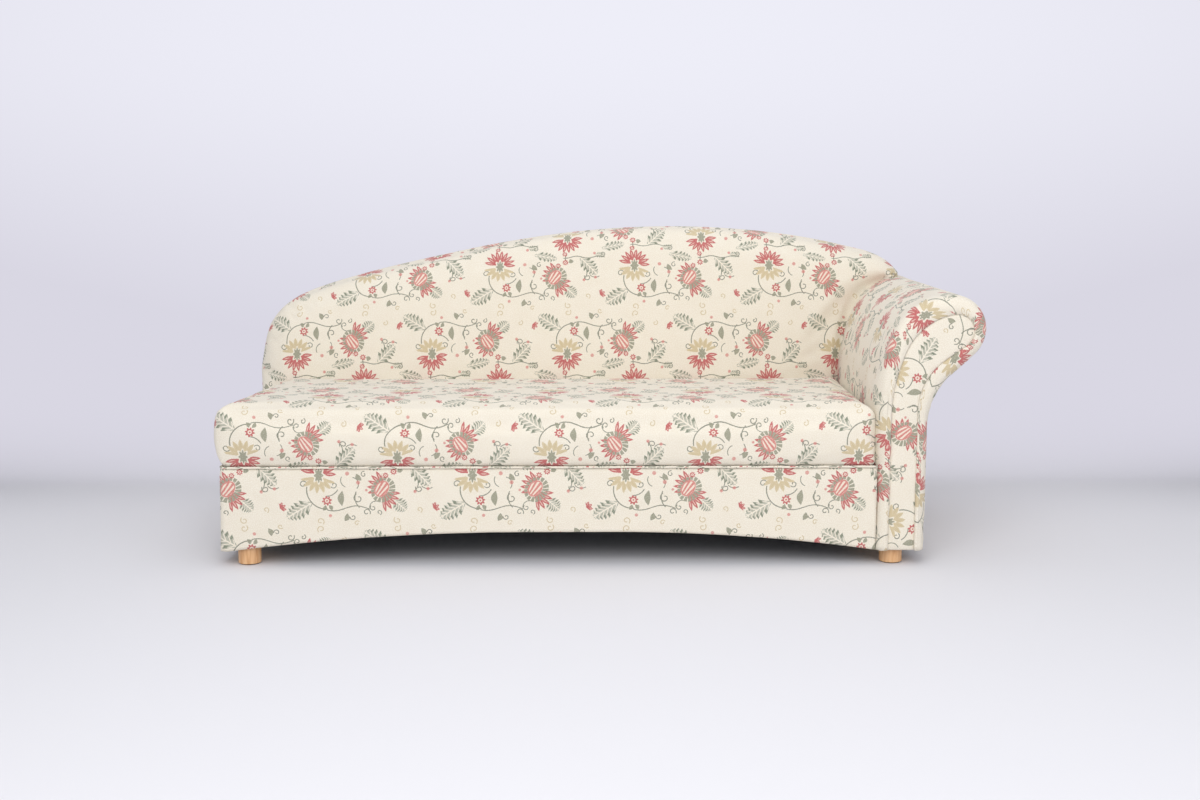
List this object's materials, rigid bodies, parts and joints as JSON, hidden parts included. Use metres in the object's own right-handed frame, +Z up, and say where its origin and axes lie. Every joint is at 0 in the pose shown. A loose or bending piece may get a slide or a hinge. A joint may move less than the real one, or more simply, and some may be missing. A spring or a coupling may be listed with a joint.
{
  "type": "recamier",
  "caption": "Upholstered recamier with an arched leaning back, a single padded scroll arm, a thick seat squab over a base with an arched lower edge, and short turned legs.",
  "frame": {"origin": "on the floor under the middle of the bounding box", "axes": "+X to the right seen from the front, towards the scroll arm; +Y to the back; +Z up"},
  "size_m": [2, 0.82, 0.866],
  "materials": {
    "floral_cloth": "cream cotton with a woven floral pattern in rose, sage and pale gold",
    "leg_wood": "clear satin lacquer on beech",
    "glide_felt": "black pressed felt",
    "steel": "zinc plated",
    "frame_wood": "bare sawn softwood and plywood",
    "hardboard": "bare pressed board",
    "webbing": "elastic webbing",
    "lining": "black spunbonded cloth",
    "foam": "open-cell foam"
  },
  "bodies": {
    "root": {"arm_battens": "frame_wood", "arm_bolts": "steel", "arm_bottom_rail": "frame_wood", "arm_foam": "foam", "arm_front_facing": "floral_cloth", "arm_hardboard": "hardboard", "arm_inner_cover": "floral_cloth", "arm_mounting_board": "frame_wood", "arm_nuts": "steel", "arm_outer_cover": "floral_cloth", "arm_rear_facing": "floral_cloth", "arm_template_front": "frame_wood", "arm_template_middle": "frame_wood", "arm_template_rear": "frame_wood", "back_bolts": "steel", "back_cover": "floral_cloth", "back_crest_board": "frame_wood", "back_foam": "foam", "back_level_webbing": "webbing", "back_lower_board": "frame_wood", "back_rear_board": "frame_wood", "back_rib_1": "frame_wood", "back_rib_2": "frame_wood", "back_rib_3": "frame_wood", "back_rib_4": "frame_wood", "back_rib_5": "frame_wood", "back_side_board": "frame_wood", "back_sill": "frame_wood", "back_upright_webbing": "webbing", "base_border": "floral_cloth", "corner_block_front_left": "frame_wood", "corner_block_rear_left": "frame_wood", "deck_cloth": "lining", "dust_cloth": "lining", "front_rail": "frame_wood", "left_end_rail": "frame_wood", "leg_bolts": "steel", "leg_front_left": "leg_wood", "leg_front_right": "leg_wood", "leg_glides": "glide_felt", "leg_rear_left": "leg_wood", "leg_rear_right": "leg_wood", "outside_back": "floral_cloth", "rear_rail": "frame_wood", "right_end_rail": "frame_wood", "seam_piping": "floral_cloth", "seat_cover": "floral_cloth", "seat_cross_rail_1": "frame_wood", "seat_cross_rail_2": "frame_wood", "seat_cross_rail_3": "frame_wood", "seat_foam": "foam", "seat_inner_rail": "frame_wood", "seat_long_webbing": "webbing", "seat_short_webbing": "webbing"}
  },
  "joints": []
}
